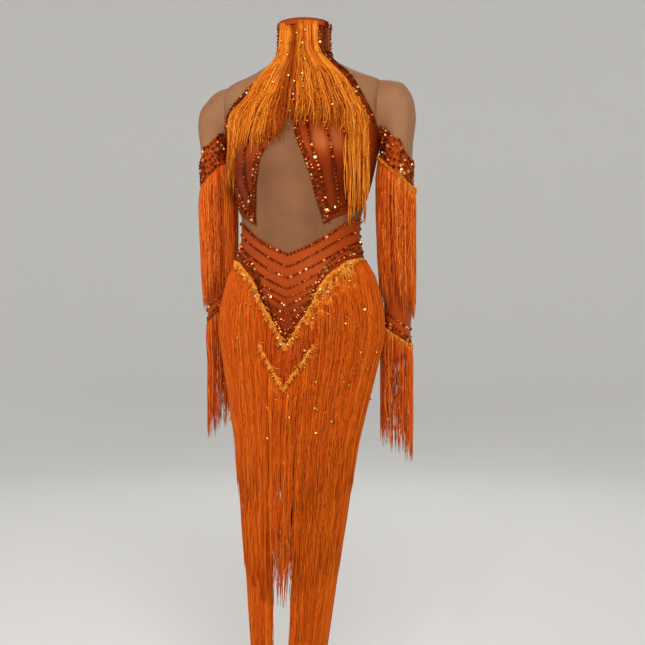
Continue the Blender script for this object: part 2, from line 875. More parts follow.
def strands(name: str, path: np.ndarray, out: np.ndarray, width: np.ndarray, shade: np.ndarray,
            material: bpy.types.Material) -> Piece:
    """Makes many fine strands in one mesh.

    Args:
        name: The piece's name.
        path: The strands' points in mm, root first: strand, station, xyz.
        out: The way out at each.
        width: How wide each strand is in mm.
        shade: A number from 0 to 1 for each strand's colour.
        material: Their finish.

    Returns:
        The piece.
    """
    count, stations = path.shape[:2]
    bm = bmesh.new()
    bmesh.ops.create_cone(bm, cap_ends=True, segments=3, radius1=1, radius2=1, depth=stations - 1)
    upright = [e for e in bm.edges if abs(e.verts[0].co.z - e.verts[1].co.z) > 0.5]
    bmesh.ops.subdivide_edges(bm, edges=upright, cuts=stations - 2)
    for face in bm.faces:
        face.smooth = True
    mesh, number, place = copies(bm, count)
    station = np.clip(np.rint((stations - 1) / 2 - place[:, 2]).astype(int), 0, stations - 1)
    ahead = np.empty_like(path)
    ahead[:, 1:-1] = path[:, :-2] - path[:, 2:]
    ahead[:, 0], ahead[:, -1] = path[:, 0] - path[:, 1], path[:, -2] - path[:, -1]
    up = unit(ahead)
    across = unit(np.cross(out, up))
    face_out = np.cross(up, across)
    share = station / (stations - 1)
    half = width[number] / 2 * np.interp(share, [0, 0.05, 0.9, 1], [0.7, 1, 0.9, 0.3])
    moved = path[number, station] + across[number, station] * (place[:, 0] * half)[:, None]
    moved += face_out[number, station] * (place[:, 1] * half)[:, None]
    steps = np.cumsum(np.linalg.norm(np.diff(path, axis=1), axis=-1), 1)
    length = np.concatenate([np.zeros((count, 1)), steps], 1)
    marks = {"shade": shade[number], "along": length[number, station] * MM}
    return placed(name, mesh, moved, marks, material)


@dataclass
class Beads:
    """Crystals gathered from any number of rows, then made as one mesh."""

    name: str
    points: list[np.ndarray] = field(default_factory=list)
    normals: list[np.ndarray] = field(default_factory=list)
    sizes: list[np.ndarray] = field(default_factory=list)

    def along(self, surface: Surface, a: np.ndarray, b: np.ndarray, lift: float, size: float,
              pitch: float, steps: Spot = TORSO_STEPS, mirrored: bool = False) -> None:
        """Sets beads at an even pitch along a line on a surface.

        Args:
            surface: The cloth that carries them.
            a: The line's first numbers on the surface.
            b: Its second numbers.
            lift: How far their middles stand off, in mm.
            size: Their width in mm.
            pitch: From one to the next, in mm.
            steps: How far to look along each number for the normal.
            mirrored: True to set them on the wearer's right instead.
        """
        fine = np.linspace(0, 1, 400)
        share = np.linspace(0, 1, len(a))
        fa, fb = np.interp(fine, share, a), np.interp(fine, share, b)
        run = surface(fa, fb)
        length = np.concatenate([[0], np.cumsum(np.linalg.norm(np.diff(run, axis=0), axis=1))])
        stops = np.arange(pitch / 2, length[-1], pitch)
        ta, tb = np.interp(stops, length, fa), np.interp(stops, length, fb)
        normal = normal_of(surface, ta, tb, steps)
        place = surface(ta, tb) + normal * lift
        if mirrored:
            place, normal = place * (-1, 1, 1), normal * (-1, 1, 1)
        self.points.append(place)
        self.normals.append(normal)
        self.sizes.append(np.full(len(stops), size / 2))

    def torso(self, x: Sequence[float], z: Sequence[float], lift: float, size: float,
              pitch: float) -> None:
        """Sets beads along a line on the front of the torso.

        Args:
            x: The line's distances from the centre plane.
            z: Its heights.
            lift: How far their middles stand off, in mm.
            size: Their width in mm.
            pitch: From one to the next, in mm.
        """
        fx = np.interp(np.linspace(0, 1, 60), np.linspace(0, 1, len(x)), x)
        fz = np.interp(np.linspace(0, 1, 60), np.linspace(0, 1, len(z)), z)
        self.along(skin, theta_of(fx, fz), fz, lift, size, pitch)

    def make(self, material: bpy.types.Material, seed: int) -> Piece:
        """Makes the beads.

        Args:
            material: Their finish.
            seed: For the way that each is turned.

        Returns:
            The piece.
        """
        rng = np.random.default_rng(seed)
        points, normals = np.concatenate(self.points), np.concatenate(self.normals)
        sizes = np.concatenate(self.sizes) * rng.uniform(0.86, 1.12, len(points))
        bm = bmesh.new()
        bmesh.ops.create_icosphere(bm, subdivisions=1, radius=1)
        mesh, number, place = copies(bm, len(points))
        normals = unit(normals + rng.normal(0, 0.12, normals.shape))
        side = unit(np.cross(normals, rng.normal(0, 1, normals.shape)))
        other = np.cross(normals, side)
        reach = (place * sizes[number][:, None]) * (1, 1, 0.72)
        moved = points[number] + side[number] * reach[:, :1] + other[number] * reach[:, 1:2]
        moved = moved + normals[number] * reach[:, 2:]
        shades = rng.uniform(0, 1, len(points))
        return placed(self.name, mesh, moved, {"shade": shades[number]}, material)


@dataclass(frozen=True)
class Cut:
    """A panel of the torso's cloth between two seams, by turns in degrees."""

    node: str
    start: float
    end: float
    columns: int
    flat: Spot
    area: float | None = None

    def surface(self, place: Surface) -> Surface:
        """Lays a surface over the panel.

        Args:
            place: The surface by turns in radians and shares up.

        Returns:
            The same surface by shares across and up.
        """

        def point(u: np.ndarray, v: np.ndarray) -> np.ndarray:
            """Returns the panel's points."""
            return place(np.radians(mix(self.start + SEAM_TURN, self.end - SEAM_TURN, u)), v)

        return point


# ---------------------------------------------------------------- the garment's pieces


@dataclass
class MeshUpper:
    """The nude net upper: front, two backs and two shoulder caps, which droop at the outer corner."""

    wall: float = 0.8
    pivot: Place = (150, 30, -150)
    droop: dict[int, float] = field(default_factory=lambda: {1: 4.0, -1: 12.0})
    cuts: tuple[Cut, ...] = (
        Cut("mesh_front", -90, 90, 64, (0.36, 0.47)),
        Cut("mesh_back_left", 90, 180, 32, (0.18, 0.47)),
        Cut("mesh_back_right", -180, -90, 32, (0.18, 0.47)),
    )

    def panel(self, seed: float) -> Surface:
        """Makes the torso's net.

        Args:
            seed: For its folds.

        Returns:
            The surface, by turns in radians and shares up.
        """

        def place(theta: np.ndarray, v: np.ndarray) -> np.ndarray:
            """Finds the net's points.

            Args:
                theta: Turns in radians.
                v: Shares up.

            Returns:
                The points.
            """
            z = mix(net_foot(theta), COLLAR_TOP, v)
            fold = 0.9 * wrinkle(theta * 120, z, seed, (11, 80)) * np.clip((z + 420) / 60, 0, 1)
            return skin(theta, z) + fold[..., None] * level_out(skin, theta, z)

        return place

    def tone(self, piece: Piece) -> None:
        """Marks the net darker where it spans the midriff.

        Args:
            piece: The net.
        """
        x, y, z = places_of(piece)
        low = np.clip((-80 - z) / 60, 0, 1) * (y < 40)
        mark(piece.data, "tone", -0.30 * low - 0.10 * low * np.exp(-(((np.abs(x) - 46) / 16) ** 2)))

    def sag(self, side: int, around: np.ndarray, along: np.ndarray) -> np.ndarray:
        """Returns how far a cap droops at its outer corner."""
        outer = np.clip(-np.cos(around), 0, 1)
        return self.droop[side] * (outer * np.exp(-(((along * 90 - 24) / 11) ** 2)))

    def cap(self, side: int) -> Surface:
        """Makes a shoulder cap.

        Args:
            side: 1 on the wearer's left, -1 on the right.

        Returns:
            The surface.
        """

        def point(u: np.ndarray, v: np.ndarray) -> np.ndarray:
            """Finds the cap's points.

            Args:
                u: Shares round it.
                v: Shares from the sleeve up.

            Returns:
                The points.
            """
            around = np.radians(mix(320, 40, u) if side < 0 else mix(40, 320, u))
            along = mix(sleeve_start(around) + 0.012, -0.014, v)
            fold = wrinkle(around * 40, along * 60, 3.0 + side, (9, 60))
            fold = 0.9 * fold * np.clip(along * 4, 0, 1) - self.sag(side, around, along)
            place = arm(around, along)
            return (place + fold[..., None] * unit(place - self.pivot)) * (side, 1, 1)

        return point

    def build(self, wardrobe: Wardrobe) -> list[Piece]:
        """Builds the panels and caps.

        Args:
            wardrobe: The finishes.

        Returns:
            The pieces.
        """
        made = []
        for seed, cut in enumerate(self.cuts, 1):
            surface = cut.surface(self.panel(seed))
            name = cut.node.replace("mesh", "net")
            piece = cloth(name, surface, cut.columns, 96, self.wall, wardrobe.net)
            self.tone(piece)
            made.append(stretch(piece, cut.node))
        for label, side in SIDES.items():
            piece = cloth(f"net_cap_{label}", self.cap(side), 52, 32, self.wall, wardrobe.net)
            made.append(stretch(piece, f"cap_{label}"))
        return slotted(made)


@dataclass
class Halter:
    """The halter and bust panels with their crystal rows, and the collar's back halves."""

    wall: float = 1.0
    hem_tip: float = -342
    hem_side: float = -300
    crystal_lift: float = ON_MESH + 1.6
    crystal_seed: int = 11
    bust_rows: dict[int, tuple[tuple[Spot, ...], ...]] = field(default_factory=lambda: {
        -1: (
            ((-50, -140), (-66, -160), (-76, -177), (-88, -207), (-92, -238), (-90, -263), (-84, -283),
             (-88, -317)),
            ((-100, -140), (-122, -168), (-133, -198), (-133, -230), (-118, -260), (-107, -284),
             (-96, -306)),
        ),
        1: (
            ((31, -133), (48, -189), (55, -212), (61, -232), (69, -288), (73, -324)),
            ((60, -132), (66, -142), (82, -183), (87, -217), (88, -248), (90, -268), (91, -308)),
            ((92, -140), (110, -180), (113, -201), (108, -246), (106, -280), (108, -300)),
            ((122, -150), (136, -185), (135, -220), (128, -255), (118, -290)),
        ),
    })

    def hem(self, w: np.ndarray) -> np.ndarray:
        """Returns the bust hem's height, by the share out from the keyhole."""
        return mix(self.hem_tip, self.hem_side, w**0.8)

    def panel(self, side: int) -> Surface:
        """Makes a halter panel.

        Args:
            side: 1 on the wearer's left, -1 on the right.

        Returns:
            The surface, by shares across and from bust hem to neck.
        """
        edge, keyhole = HALTER_EDGE[side], KEYHOLE[side]

        def point(u: np.ndarray, v: np.ndarray) -> np.ndarray:
            """Finds the panel's points.

            Args:
                u: Shares across.
                v: Shares up.

            Returns:
                The points.
            """
            w = u if side > 0 else 1 - u
            z = mix(self.hem(w), COLLAR_TOP, v)
            inner = np.where(z > KEYHOLE_TOP, 0.2, keyhole.read("x", z))
            outer = np.where(z > HALTER_FOOT, theta_of(edge.read("x", z), z), math.radians(89.8))
            theta = mix(theta_of(inner, z), outer, w) * side
            fold = 0.5 * wrinkle(theta * 90, z, 5.0 + side, (10, 70))
            return on_torso(theta, z, ON_MESH) + fold[..., None] * level_out(skin, theta, z)

        return point

    def tone(self, piece: Piece, side: int) -> None:
        """Marks where a panel is stretched thin over the bust, and darker at beaded edges and folds.

        Args:
            piece: The panel.
            side: 1 on the wearer's left, -1 on the right.
        """
        x, _, z = places_of(piece)
        x = x * side
        fall = 1 / (1 + np.exp((-212 - z) / -7.0))
        thin = np.exp(-(((x - 78) / 46) ** 4) - ((z + 186) / 44) ** 4)
        from_keyhole = np.abs(x - KEYHOLE[side].read("x", z)) + (z > KEYHOLE_TOP + 4) * 99
        rim = np.minimum(np.abs(x - HALTER_EDGE[side].read("x", z)), from_keyhole)
        for row in self.bust_rows[side]:
            rx, rz = (np.array(values, float) for values in zip(*row))
            line = np.interp(-z, -rz, rx * side, left=999, right=999)
            rim = np.minimum(rim, np.abs(x - line))
        shine = 0.42 if side > 0 else 0.2
        tone = shine * thin * (1 - fall) - 0.22 * fall * (z < -150)
        mark(piece.data, "tone", tone - 0.36 * np.exp(-((rim / 6) ** 2)))

    def collar(self, side: int) -> Surface:
        """Makes half of the collar's back.

        Args:
            side: 1 on the wearer's left, -1 on the right.

        Returns:
            The surface.
        """

        def point(u: np.ndarray, v: np.ndarray) -> np.ndarray:
            """Finds the collar's points.

            Args:
                u: Shares across.
                v: Shares up.

            Returns:
                The points.
            """
            w = u if side > 0 else 1 - u
            z = mix(8, COLLAR_TOP, v)
            start = theta_of(HALTER_EDGE[1].read("x", z), z) + math.radians(3)
            return on_torso(mix(start, math.radians(179.7), w) * side, z, ON_MESH)

        return point

    def crystals(self, side: int, beads: Beads) -> None:
        """Sets a side's crystal rows.

        Args:
            side: 1 on the wearer's left, -1 on the right.
            beads: What they are gathered in.
        """
        lift = self.crystal_lift
        edge, keyhole = HALTER_EDGE[side], KEYHOLE[side]
        z = np.linspace(70, -142, 90)
        for inset in (3.4, 10.2):
            beads.torso(side * (edge.read("x", z) - inset), z, lift, 6.6, 6.6)
        z = np.linspace(70, 12, 30)
        for outset in (3.0, 6.4):
            beads.torso(np.minimum(side * (edge.read("x", z) + outset), 60), z, lift, 6.4, 6.6)
        z = np.linspace(-140, -340, 60)
        for inset, size in ((3.6, 7.0), (10.6, 5.4)):
            beads.torso(side * (keyhole.read("x", z) + inset), z, lift, size, size + 0.6)
        for row in self.bust_rows[side]:
            x, z = zip(*row)
            beads.torso(x, z, lift, 7.6, 8.0)
        w = np.linspace(0, 1, 50)
        hem = self.hem(w) + 4
        x = mix(keyhole.read("x", hem), BODY.read("half", hem) * 0.99, w)
        beads.torso(side * x, hem + 1, lift, 7.8, 8.4)
        beads.torso(side * x, hem + 9, lift, 5.0, 7.0)

    def build(self, wardrobe: Wardrobe) -> list[Piece]:
        """Builds the panels and their crystals.

        Args:
            wardrobe: The finishes.

        Returns:
            The pieces.
        """
        made = []
        beads = Beads("halter_crystals")
        for label, side in SIDES.items():
            surface = self.panel(side)
            front = cloth(f"satin_halter_{label}", surface, 40, 104, self.wall, wardrobe.sheer)
            self.tone(front, side)
            made.append(stretch(front, f"halter_{label}"))
            surface = self.collar(side)
            back = cloth(f"satin_collar_{label}", surface, 48, 16, self.wall, wardrobe.satin)
            made.append(stretch(back, f"collar_back_{label}"))
            self.crystals(side, beads)
        for height in (69.0, 63.0, 11.0):
            theta = np.radians(np.linspace(70, 290, 80))
            beads.along(skin, theta, np.full(80, height), self.crystal_lift, 6.4, 6.8)
        made.append(beads.make(wardrobe.amber, self.crystal_seed))
        return slotted(made)


@dataclass
class Yoke:
    """The pointed waist yoke with its stacked crystal chevrons, front and back."""

    wall: float = 1.0
    crystal_lift: float = ON_MESH + 1.5
    crystal_seed: int = 12
    chevrons: tuple[tuple[float, float, float], ...] = (
        # height at the centre, share of the half width at the ends, and height there
        (-424, 1.0, -352), (-445, 1.0, -373), (-466, 0.95, -392), (-483, 0.5, -446), (-498, 0.42, -462),
        (-514, 0.36, -484), (-529, 0.30, -503), (-544, 0.22, -526),
    )
    cuts: tuple[Cut, ...] = (
        Cut("yoke_front", -90, 90, 96, (0.36, 0.246), 0.035),
        Cut("yoke_back_left", 90, 180, 48, (0.18, 0.145), 0.018),
        Cut("yoke_back_right", -180, -90, 48, (0.18, 0.145), 0.018),
    )

    def panel(self, theta: np.ndarray, v: np.ndarray) -> np.ndarray:
        """Returns points of the yoke, by turns in radians and shares up."""
        z = mix(at_edge(YOKE_FOOT, theta), at_edge(YOKE_TOP, theta), v)
        return on_torso(theta, z, ON_MESH)

    def crystals(self, beads: Beads) -> None:
        """Sets the chevrons and the rows along the edges.

        Args:
            beads: What they are gathered in.
        """
        lift = self.crystal_lift
        share = np.linspace(-1, 1, 161)
        for centre, end, height in self.chevrons:
            s = share * end
            z = mix(centre, height, np.abs(share) ** 1.15)
            beads.along(skin, np.arcsin(s * 0.999), z, lift, 5.8, 6.4)
        theta = np.radians(np.linspace(-89, 89, 161))
        beads.along(skin, theta, at_edge(YOKE_TOP, theta) - 4, lift, 7.2, 7.6)
        for rise in (4.0, 11.0):
            beads.along(skin, theta, at_edge(YOKE_FOOT, theta) + rise * 1.4, lift, 6.2, 6.8)
        back = np.radians(np.linspace(91, 269, 161))
        top, foot = at_edge(YOKE_TOP, back), at_edge(YOKE_FOOT, back)
        for k in (0.05, 0.25, 0.45, 0.65, 0.85):
            beads.along(skin, back, mix(top, foot, k), lift, 4.8, 6.0)

    def build(self, wardrobe: Wardrobe) -> list[Piece]:
        """Builds the yoke.

        Args:
            wardrobe: The finishes.

        Returns:
            The pieces.
        """
        made = []
        for cut in self.cuts:
            surface = cut.surface(self.panel)
            piece = cloth("satin_" + cut.node, surface, cut.columns, 36, self.wall, wardrobe.satin)
            mark(piece.data, "tone", -0.45 * np.clip((-462 - places_of(piece)[2]) / 60, 0, 1))
            made.append(stretch(piece, cut.node))
        beads = Beads("yoke_crystals")
        self.crystals(beads)
        made.append(beads.make(wardrobe.amber, self.crystal_seed))
        return slotted(made)


@dataclass
class Brief:
    """The brief under the fringe skirt, with its gusset."""

    wall: float = 1.0
    cuts: tuple[Cut, ...] = (
        Cut("brief_front", -90, 90, 80, (0.42, 0.29), 0.066),
        Cut("brief_back_left", 90, 180, 40, (0.22, 0.29), 0.042),
        Cut("brief_back_right", -180, -90, 40, (0.22, 0.29), 0.042),
    )

    def panel(self, theta: np.ndarray, v: np.ndarray) -> np.ndarray:
        """Returns points of the brief, by turns in radians and shares up."""
        foot = np.where(np.abs(np.sin(theta)) < 0.2, CROTCH + SEAM, at_edge(LEG_EDGE, theta))
        return skin(theta, mix(foot, net_foot(theta) - SEAM, v))

    def gusset(self, u: np.ndarray, v: np.ndarray) -> np.ndarray:
        """Finds points of the gusset, which sags between front and back.

        Args:
            u: Shares across.
            v: Shares from front to back.

        Returns:
            The points.
        """
        front, back = GUSSET_ENDS
        z = CROTCH - 1.5 - 12 * (1 - (2 * v - 1) ** 2)
        return np.stack([mix(31, -31, u), mix(front + SEAM, back - SEAM, v), z], -1)

    def build(self, wardrobe: Wardrobe) -> list[Piece]:
        """Builds the brief.

        Args:
            wardrobe: The finishes.

        Returns:
            The pieces.
        """
        made = []
        for cut in self.cuts:
            surface = cut.surface(self.panel)
            piece = cloth("satin_" + cut.node, surface, cut.columns, 40, self.wall, wardrobe.satin)
            made.append(stretch(piece, cut.node))
        piece = cloth("satin_gusset", self.gusset, 12, 24, self.wall, wardrobe.satin)
        made.append(stretch(piece, "gusset"))
        return slotted(made)


@dataclass
class Sleeve:
    """An off-the-shoulder sleeve with its crystal bands, its fringe and its pointed cuff."""

    label: str
    side: int
    fringe_hem: float
    seed: int
    wall: float = 1.0
    crystal_lift: float = ON_CAP + 1.6

    def round_of(self, u: np.ndarray) -> np.ndarray:
        """Returns the turn round the arm, by shares that turn outwards on either side."""
        return 2 * math.pi * (u if self.side > 0 else 1 - u)

    def surface(self, u: np.ndarray, v: np.ndarray) -> np.ndarray:
        """Finds points of the sleeve.

        Args:
            u: Shares round it.
            v: Shares from the cuff up.

        Returns:
            The points.
        """
        around = self.round_of(u)
        along = mix(along_arm(cuff_height(self.side, around)), sleeve_start(around), v)
        fold = wrinkle(around * 24, along * 900, 7.0 + self.side, (8, 26))
        fold = 0.9 * fold * np.clip((along - 1) * 12, 0, 1)
        place = on_arm(around, along, ON_CAP)
        return (place + fold[..., None] * out_of_arm(around)) * (self.side, 1, 1)

    def row(self, count: int, head: Edge, hem: Hem, lift: float, width: float, bow: float) -> Laid:
        """Lays out a row of fringe round the arm.

        Args:
            count: How many strands.
            head: The row's height, by the turn round the arm.
            hem: The hem's height, by the turn and a random share.
            lift: How far off the arm it hangs, in mm.
            width: A strand's width in mm.
            bow: How far the strands spread from each other, in mm.

        Returns:
            The strands' paths, ways out, widths and shades.
        """
        rng = np.random.default_rng(self.seed)
        start = (np.arange(count) + rng.uniform(0, 1, count)) / count * 2 * math.pi
        locks = rng.uniform(0, 2 * math.pi, count // 9)
        near = locks[nearest(start, locks)]
        t = np.linspace(0, 1, 13)
        around = mix(start[:, None], near[:, None], rng.uniform(0, 0.8, (count, 1)) * t)
        around = around + rng.normal(0, 0.07, (count, 1)) * t
        z = mix(head(start)[:, None], hem(start, rng.uniform(0, 1, count))[:, None], t)
        loose = 0.03 + 0.12 * (rng.uniform(0, 1, (count, 1)) < 0.18)
        around = around + loose * np.sin(z / 15 + rng.uniform(0, 6, (count, 1))) * np.minimum(1, t * 4)
        off = lift + rng.uniform(0, bow, (count, 1)) * np.minimum(1, t * 6)
        out = out_of_arm(around)
        path = arm(around, along_arm(z)) + out * off[..., None]
        flip = np.array([self.side, 1, 1])
        return path * flip, out * flip, rng.uniform(0.7, 1.15, count) * width, rng.uniform(0, 1, count)

    def tape(self, name: str, head: Edge, lift: float, material: bpy.types.Material) -> Piece:
        """Makes a row's heading tape.

        Args:
            name: The piece's name.
            head: The row's height, by the turn round the arm.
            lift: How far off the arm it lies, in mm.
            material: Its finish.

        Returns:
            The piece.
        """

        def point(u: np.ndarray, v: np.ndarray) -> np.ndarray:
            """Finds the tape's points.

            Args:
                u: Shares round.
                v: Shares up.

            Returns:
                The points.
            """
            around = self.round_of(u)
            z = head(around) - TAPE_RISE * (1 - v)
            return (arm(around, along_arm(z)) + out_of_arm(around) * lift) * (self.side, 1, 1)

        return cloth(name, point, 96, 4, TAPE_WALL, material, closed=True)

    def head(self, around: np.ndarray) -> np.ndarray:
        """Returns the height of the upper row."""
        return -232 + 32 * np.cos(around)

    def hem(self, around: np.ndarray, share: np.ndarray) -> np.ndarray:
        """Returns the height of the upper row's hem."""
        return self.fringe_hem + 22 + 14 * np.cos(around) - 60 * share**1.4

    def curl_foot(self, around: np.ndarray, share: np.ndarray) -> np.ndarray:
        """Works out how low the upper row's curls reach, which gather in tufts on the outer side.

        Args:
            around: The turn round the arm.
            share: A random share.

        Returns:
            The heights.
        """
        outer = np.clip(0.35 - np.cos(around), 0, 1)
        tufts = 0.4 + 0.6 * np.sin(around * 17) ** 2
        return self.head(around) - 2 - (4 + 26 * outer) * share**1.5 * tufts

    def cuff_head(self, around: np.ndarray) -> np.ndarray:
        """Returns the height of the cuff's row."""
        return cuff_height(self.side, around) + 12

    def cuff_hem(self, around: np.ndarray, share: np.ndarray) -> np.ndarray:
        """Returns the height of the cuff row's hem."""
        return cuff_height(self.side, around) - 150 - 78 * share**0.8

    def cuff_curl_foot(self, around: np.ndarray, share: np.ndarray) -> np.ndarray:
        """Returns how low the cuff row's curls reach."""
        return self.cuff_head(around) - 3 - 12 * share

    def fringes(self, wardrobe: Wardrobe) -> list[Piece]:
        """Makes the two rows, their tapes and the curls, which only the wearer's left sleeve has.

        Args:
            wardrobe: The finishes.

        Returns:
            The pieces.
        """
        made, label = [], self.label
        for part, top, foot, count, lift, node in (
            ("upper", self.head, self.hem, 560, ON_CAP + 4.6, "fringe_sleeve_"),
            ("cuff", self.cuff_head, self.cuff_hem, 220, ON_CAP + 4.0, "fringe_cuff_"),
        ):
            laid = self.row(count, top, foot, lift, 1.9, 4.5)
            fringe = strands(f"strands_{part}_{label}", *laid, wardrobe.sleeve)
            tape = self.tape(f"tape_{part}_{label}", top, ON_CAP + 2.8, wardrobe.satin)
            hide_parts(node + label)
            made += [fringe, tape]
        if self.side > 0:
            laid = self.row(420, self.head, self.curl_foot, ON_CAP + 5.0, 1.5, 5.0)
            made.append(strands(f"curls_{label}", *laid, wardrobe.header))
            laid = self.row(200, self.cuff_head, self.cuff_curl_foot, ON_CAP + 4.5, 1.5, 3.5)
            made.append(strands(f"cuff_curls_{label}", *laid, wardrobe.header))
        return slotted(made)

    def crystals(self, material: bpy.types.Material) -> Piece:
        """Makes the crystal bands along the sleeve's top and round its cuff.

        Args:
            material: The crystals' finish.

        Returns:
            The piece.
        """
        beads = Beads(f"sleeve_crystals_{self.label}")
        lift, right = self.crystal_lift, self.side < 0
        around = np.radians(np.linspace(0, 360, 200))
        for drop in (4.0, 17.0, 30.0, 43.0, 56.0):
            along = lower(around, sleeve_start(around), drop)
            beads.along(arm, around, along, lift, 7.6, 8.4, ARM_STEPS, right)
        ring = np.linspace(0, 2 * math.pi, 120)
        for rise in (18.0, 25.0, 42.0):
            along = 1 + (ARMPIT[2] - cuff_height(self.side, ring) - rise) / 1000
            beads.along(arm, ring, along, lift, 6.2, 7.0, ARM_STEPS, right)
        return beads.make(material, self.seed + 5)

    def build(self, wardrobe: Wardrobe) -> list[Piece]:
        """Builds the sleeve.

        Args:
            wardrobe: The finishes.

        Returns:
            The pieces.
        """
        label, satin = self.label, wardrobe.satin
        body = cloth(f"satin_sleeve_{label}", self.surface, 60, 84, self.wall, satin, closed=True)
        stretch(body, f"sleeve_{label}")
        made = slotted([body]) + self.fringes(wardrobe)
        return made + slotted([self.crystals(wardrobe.amber)])


@dataclass(frozen=True)
class FringeRow:
    """One row of the skirt's strands. Its edges are functions of the turn in radians."""

    node: str
    count: int
    start: float
    end: float
    head: Edge
    hem: Hem
    lift: Edge
    dim: Edge  # how rust the strands are
    bow: float  # how deep the row is, in mm
    stations: int


@dataclass(frozen=True)
class TuftRow:
    """The short soft curls that stand along a pointed heading, gathered in tufts."""

    name: str
    count: int
    start: float
    end: float
    full: float  # how full they are, as a share
    head: Edge
    lift: Edge


@dataclass(frozen=True)
class HemLine:
    """A ragged hem that may rise towards the sides."""

    height: float
    ragged: float
    power: float = 1.0
    rise: float = 0.0

    def __call__(self, theta: np.ndarray, share: np.ndarray) -> np.ndarray:
        """Returns the hem's height, by the turn and a random share."""
        return self.height - self.ragged * share**self.power + self.rise * np.sin(theta) ** 2


@dataclass
class Skirt:
    """The fringe that hangs from the hips in three rows: yoke, second row and leg openings."""

    seed: int = 40
    strand_width: float = 1.95
    tufts_along: int = 64
    tuft_seed: int = 61
    spot_seed: int = 63
    spots: int = 60
    crystal_seed: int = 13

    def lay(self, row: FringeRow, seed: int) -> Laid:
        """Lays out one row of strands, rust between the two pointed headings and orange elsewhere.

        Args:
            row: The row.
            seed: For the strands' differences.

        Returns:
            The strands' paths, ways out, widths and shades.
        """
        rng = np.random.default_rng(seed)
        count, each = row.count, (row.count, 1)
        turn = mix(row.start, row.end, (np.arange(count) + rng.uniform(0, 1, count)) / count)
        locks = np.sort(rng.uniform(row.start, row.end, count // 11))
        near = locks[nearest(turn, locks)]
        pull = rng.uniform(0.0, 0.75, count)[:, None]
        t = np.linspace(0, 1, row.stations) ** 0.92
        theta = mix(turn[:, None], near[:, None], pull * t) + rng.normal(0, 0.022, each) * t**1.5
        z = mix(row.head(turn)[:, None], row.hem(turn, rng.uniform(0, 1, count))[:, None], t)
        theta = theta + rng.uniform(0.002, 0.009, each) * np.sin(z / 41 + rng.uniform(0, 6.3, each))
        loose = (rng.uniform(0, 1, each) < 0.16) * rng.uniform(0.3, 1, each)
        theta = theta + (0.007 + 0.035 * loose) * np.sin(z / 17 + rng.uniform(0, 6.3, each))
        depth = rng.uniform(-0.6, 1, each) * (1 - 0.5 * loose) + 0.9 * loose
        off = row.lift(turn)[:, None] + depth * row.bow * np.minimum(1, t * 5)
        off[:, 0] = ON_BRIEF + 2.0
        out = level_out(hang, theta, z)
        path = hang(theta, z) + out * off[..., None]
        shade = rng.uniform(0, 1, count) * (1 - 0.75 * row.dim(turn))
        return path, out, rng.uniform(0.7, 1.2, count) * self.strand_width, shade

    def curl(self, row: TuftRow) -> Laid:
        """Lays out a row of curls, which thin out towards its ends.

        Args:
            row: The row.

        Returns:
            The curls' paths, ways out, widths and shades.
        """
        rng = np.random.default_rng(self.tuft_seed + row.count)
        count, each = row.count, (row.count, 1)
        half, middle = (row.end - row.start) / 2, (row.start + row.end) / 2
        tuft = np.linspace(row.start, row.end, self.tufts_along)
        tuft = tuft + rng.normal(0, half / 120, self.tufts_along)
        big = rng.uniform(0.5, 1.15, self.tufts_along) * row.full
        own = rng.integers(0, self.tufts_along, count)
        turn = tuft[own] + rng.normal(0, half / 110, count)
        fade = np.clip((half - np.abs(turn - middle)) / (0.25 * half), 0.3, 1)
        t = np.linspace(0, 1, 7)
        size = (big[own] * fade)[:, None]
        theta = turn[:, None] + rng.normal(0, 0.035, each) * t
        theta = theta + 0.012 * np.sin(t * 7 + rng.uniform(0, 6, each))
        z = row.head(turn)[:, None] + 3 - rng.uniform(8, 19, each) * t * size
        rise = rng.uniform(1.5, 4.6, each) * size * np.sin(math.pi * t) ** 0.7
        off = row.lift(turn)[:, None] - 2 + rise
        out = level_out(hang, theta, z)
        path = hang(theta, z) + out * off[..., None]
        return path, out, rng.uniform(0.8, 1.3, count) * 1.5, rng.uniform(0.1, 1, count)

    def tape(self, row: FringeRow, material: bpy.types.Material) -> Piece:
        """Makes a row's heading tape.

        Args:
            row: The row.
            material: Its finish.

        Returns:
            The piece.
        """

        def point(u: np.ndarray, v: np.ndarray) -> np.ndarray:
            """Finds the tape's points.

            Args:
                u: Shares across.
                v: Shares up.

            Returns:
                The points.
            """
            theta = mix(row.start, row.end, u)
            z = row.head(theta) - TAPE_RISE * (1 - v)
            return hang(theta, z) + level_out(hang, theta, z) * (ON_BRIEF + 0.5)

        closed = row.end - row.start > 6
        return cloth(row.node.replace("fringe", "tape"), point, 160, 4, TAPE_WALL, material, closed)

    def yoke_head(self, theta: np.ndarray) -> np.ndarray:
        """Returns the height of the row at the yoke's foot."""
        return at_edge(YOKE_FOOT, theta) - 6

    def second_head(self, theta: np.ndarray) -> np.ndarray:
        """Returns the height of the second row."""
        return at_edge(SECOND_ROW, theta)

    def leg_head(self, theta: np.ndarray) -> np.ndarray:
        """Returns the height of the rows at the leg openings."""
        return at_edge(LEG_EDGE, theta) + 11

    def stray_head(self, theta: np.ndarray) -> np.ndarray:
        """Returns the height of the stray curls below the yoke's foot."""
        return self.yoke_head(theta) - 26 - 17 * np.sin(theta * 61)

    def crossing(self, theta: np.ndarray) -> np.ndarray:
        """Returns 1 between the two pointed headings, where the second row comes forward, to 0."""
        middle = np.clip((0.44 - np.abs(np.sin(theta))) / 0.16, 0, 1) * (np.cos(theta) > 0)
        return middle * middle * (3 - 2 * middle)

    def upper_lift(self, theta: np.ndarray) -> np.ndarray:
        """Returns how far out the row at the yoke's foot hangs."""
        return ON_BRIEF + 8.0 - 3.6 * self.crossing(theta)

